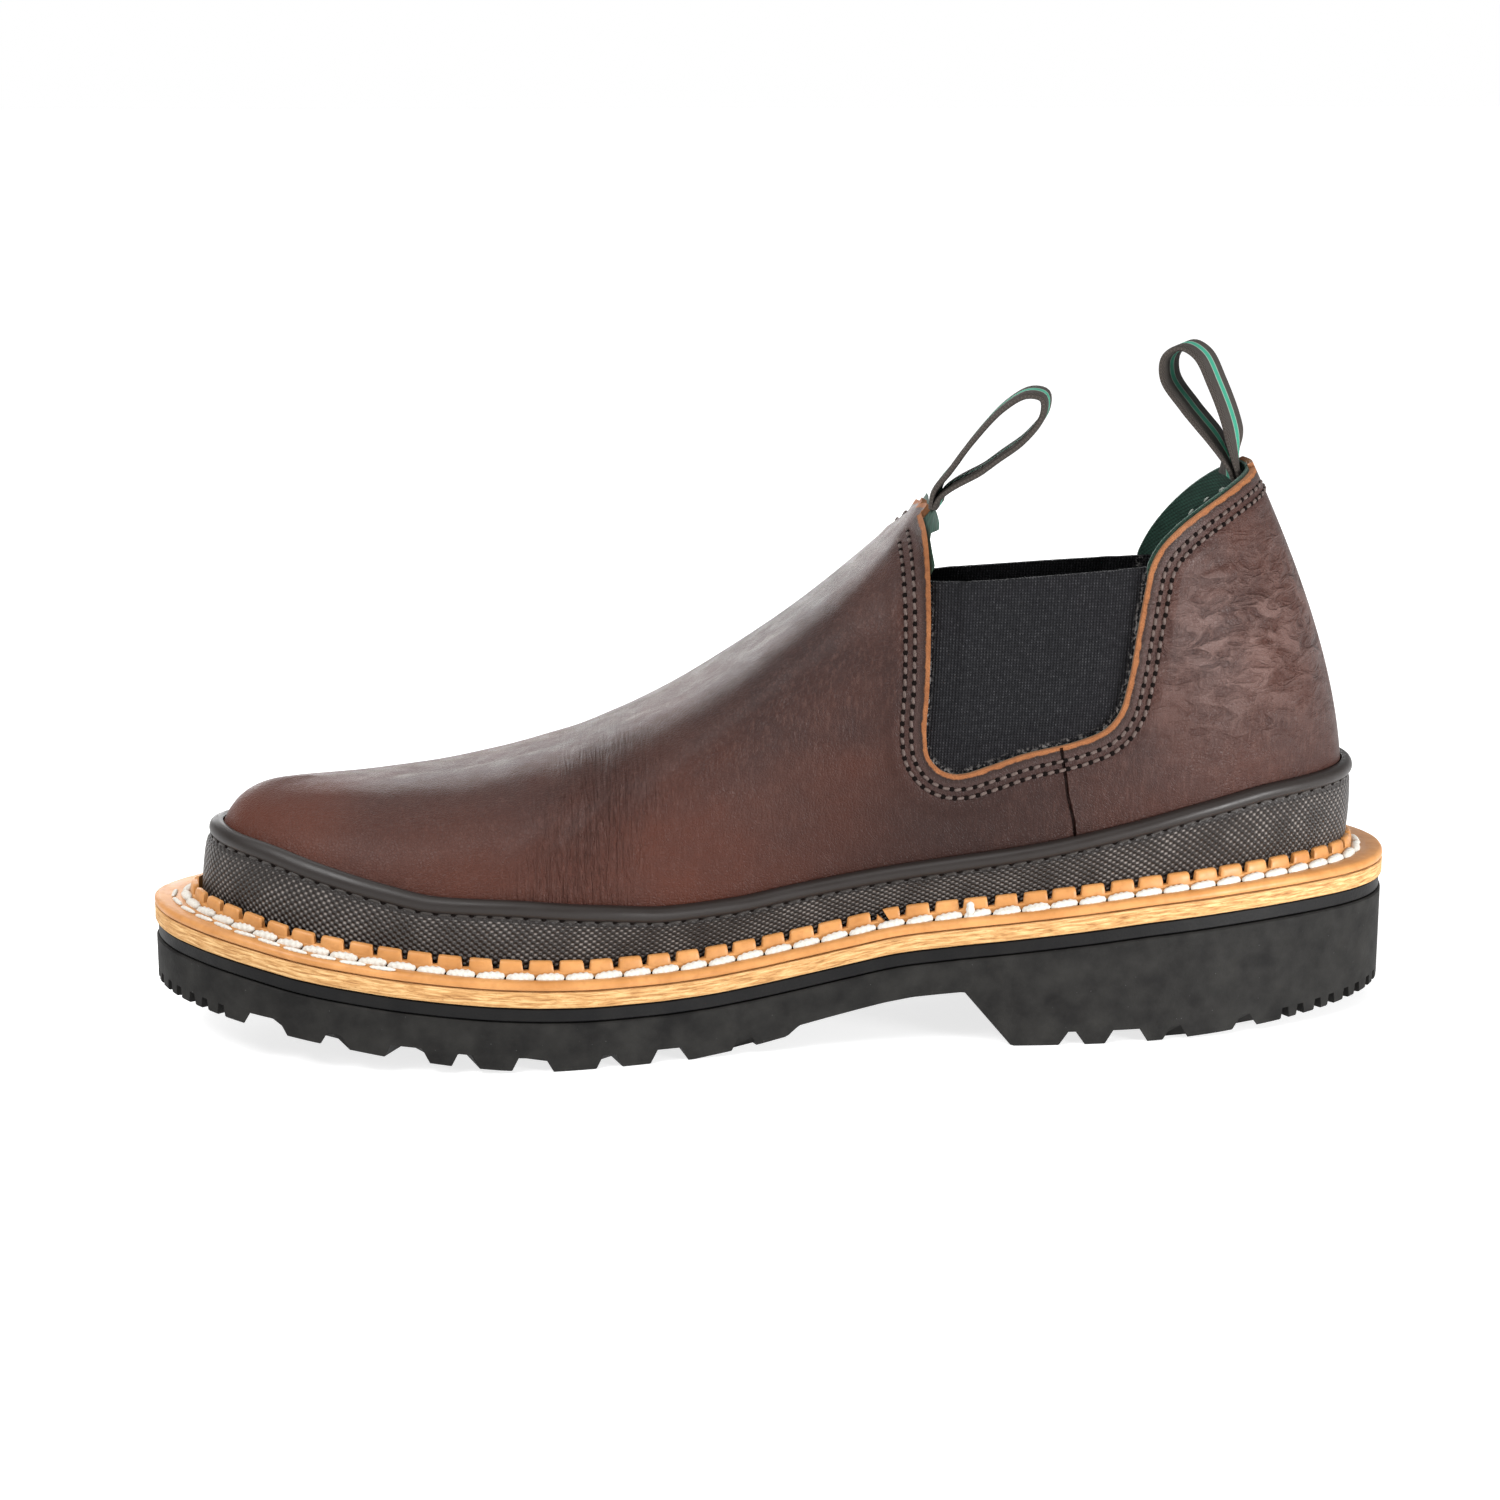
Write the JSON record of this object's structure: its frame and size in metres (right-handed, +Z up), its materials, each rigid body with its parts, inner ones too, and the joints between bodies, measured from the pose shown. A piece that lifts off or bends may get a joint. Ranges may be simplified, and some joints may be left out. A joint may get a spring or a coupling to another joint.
{
  "type": "side gore work boot",
  "caption": "Low slip-on work boot for the right foot, with elastic side gores, webbing pull loops, rubber rand, notched welt and thick lugged sole.",
  "frame": {"origin": "middle of the bounding box seen from above, on the ground", "axes": "+X to the toe, +Y to the shoe's left, which is its inner side, +Z up"},
  "size_m": [0.3126, 0.1112, 0.1668],
  "materials": {
    "outsole_rubber": "matt moulded rubber, dark grey",
    "layer_rubber": "smooth cut rubber, black",
    "midsole_fibre": "cut fibre edge, pale tan",
    "welt_tan": "satin tan",
    "rand_rubber": "knurled dark brown rubber with a smooth bead",
    "upper_leather": "waxed dark red-brown leather",
    "gore_elastic": "ribbed black elastic",
    "insole_cloth": "matt cloth",
    "webbing": "dark grey webbing with a green middle stripe"
  },
  "bodies": {
    "root": {"outsole": "outsole_rubber", "rubber_layer": "layer_rubber", "midsole": "midsole_fibre", "welt": "welt_tan", "rand": "rand_rubber", "upper": "upper_leather", "gore_inner": "gore_elastic", "gore_outer": "gore_elastic", "insole": "insole_cloth", "pull_loop_front": "webbing", "pull_loop_back": "webbing"}
  },
  "joints": []
}
